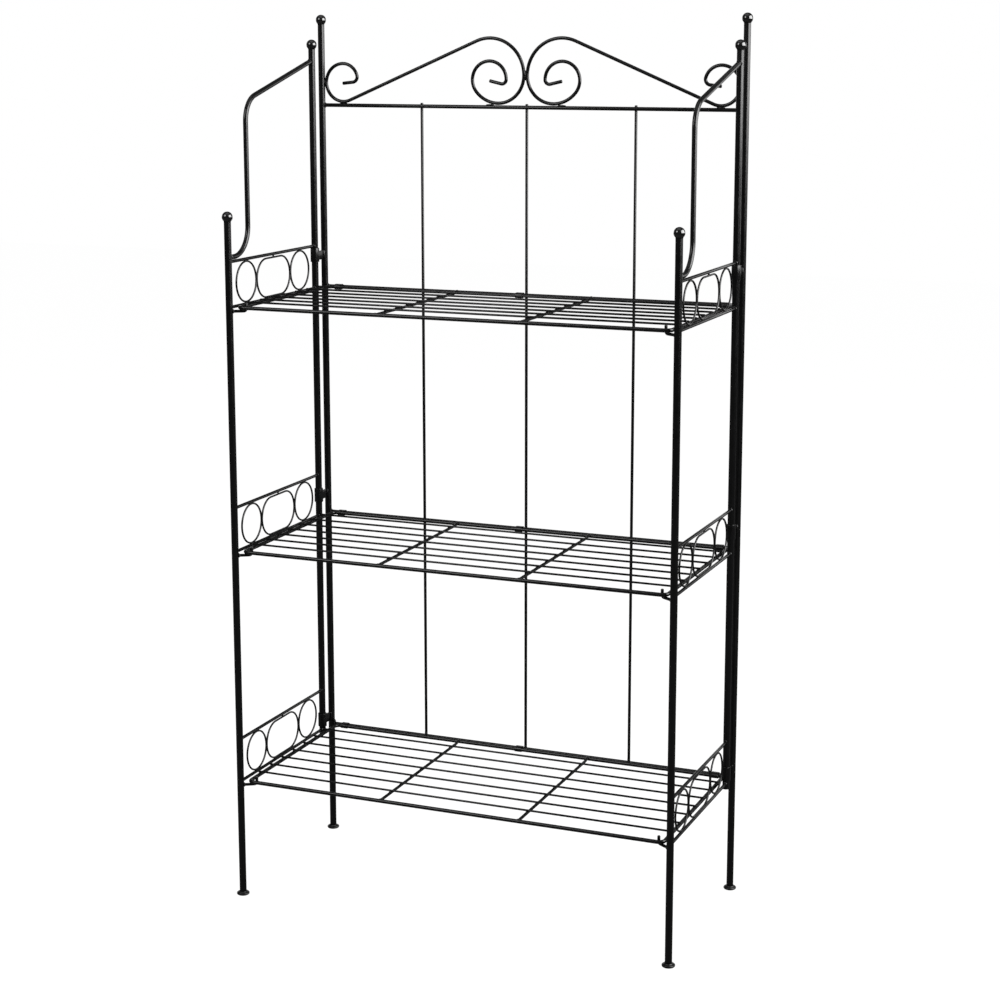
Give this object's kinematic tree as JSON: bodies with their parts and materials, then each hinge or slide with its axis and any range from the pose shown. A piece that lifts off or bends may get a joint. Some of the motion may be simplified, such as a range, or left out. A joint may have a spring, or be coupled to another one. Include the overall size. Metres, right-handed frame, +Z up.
{
  "type": "bakers rack",
  "caption": "Free-standing folding bakers rack of black steel rod: lift-up wire shelves between hinged side frames with ring galleries and sweeping rails, under a scrolled crest.",
  "frame": {"origin": "on the floor, under the middle of the rack's box", "axes": "+X to the rack's right as seen from the front, +Y to its back frame, +Z up"},
  "size_m": [0.726, 0.3356, 1.3693],
  "materials": {
    "enamel": "semi-gloss black",
    "lacquer": "gloss black",
    "glide": "satin black"
  },
  "bodies": {
    "back_frame": {"left_back_post": "enamel", "left_back_finial": "lacquer", "left_back_foot": "glide", "right_back_post": "enamel", "right_back_finial": "lacquer", "right_back_foot": "glide", "crest_rail": "enamel", "hinge_rail_bottom": "enamel", "hinge_rail_middle": "enamel", "hinge_rail_top": "enamel", "upright_rod_left": "enamel", "upright_rod_centre": "enamel", "upright_rod_right": "enamel", "left_scroll": "enamel", "right_scroll": "enamel", "left_hinge_bottom": "enamel", "left_hinge_middle": "enamel", "left_hinge_top": "enamel", "right_hinge_bottom": "enamel", "right_hinge_middle": "enamel", "right_hinge_top": "enamel"},
    "left_side": {"left_front_post": "enamel", "left_rear_post": "enamel", "left_front_finial": "lacquer", "left_rear_finial": "lacquer", "left_front_foot": "glide", "left_sweep_rail": "enamel", "left_gallery_bottom": "enamel", "left_gallery_middle": "enamel", "left_gallery_top": "enamel", "left_hook_bottom": "enamel", "left_hook_middle": "enamel", "left_hook_top": "enamel"},
    "right_side": {"right_front_post": "enamel", "right_rear_post": "enamel", "right_front_finial": "lacquer", "right_rear_finial": "lacquer", "right_front_foot": "glide", "right_sweep_rail": "enamel", "right_gallery_bottom": "enamel", "right_gallery_middle": "enamel", "right_gallery_top": "enamel", "right_hook_bottom": "enamel", "right_hook_middle": "enamel", "right_hook_top": "enamel"},
    "shelf_bottom": {"shelf_bottom_deck": "enamel", "shelf_bottom_crossbar_left": "enamel", "shelf_bottom_crossbar_right": "enamel"},
    "shelf_middle": {"shelf_middle_deck": "enamel", "shelf_middle_crossbar_left": "enamel", "shelf_middle_crossbar_right": "enamel"},
    "shelf_top": {"shelf_top_deck": "enamel", "shelf_top_crossbar_left": "enamel", "shelf_top_crossbar_right": "enamel"}
  },
  "joints": [
    {"name": "shelf_bottom_lift", "type": "hinge", "parent": "back_frame", "child": "shelf_bottom", "pos_m": [0, 0.1575, 0.187], "axis": [-1, 0, 0], "range_deg": [0, 85]},
    {"name": "shelf_middle_lift", "type": "hinge", "parent": "back_frame", "child": "shelf_middle", "pos_m": [0, 0.1575, 0.5565], "axis": [-1, 0, 0], "range_deg": [0, 85]},
    {"name": "shelf_top_lift", "type": "hinge", "parent": "back_frame", "child": "shelf_top", "pos_m": [0, 0.1575, 0.934], "axis": [-1, 0, 0], "range_deg": [0, 85]},
    {"name": "left_side_turn", "type": "hinge", "parent": "back_frame", "child": "left_side", "pos_m": [-0.353, 0.1235, 0], "axis": [0, 0, 1], "range_deg": [-0.8, 1.4]},
    {"name": "right_side_turn", "type": "hinge", "parent": "back_frame", "child": "right_side", "pos_m": [0.353, 0.1235, 0], "axis": [0, 0, -1], "range_deg": [-0.8, 1.4]}
  ]
}
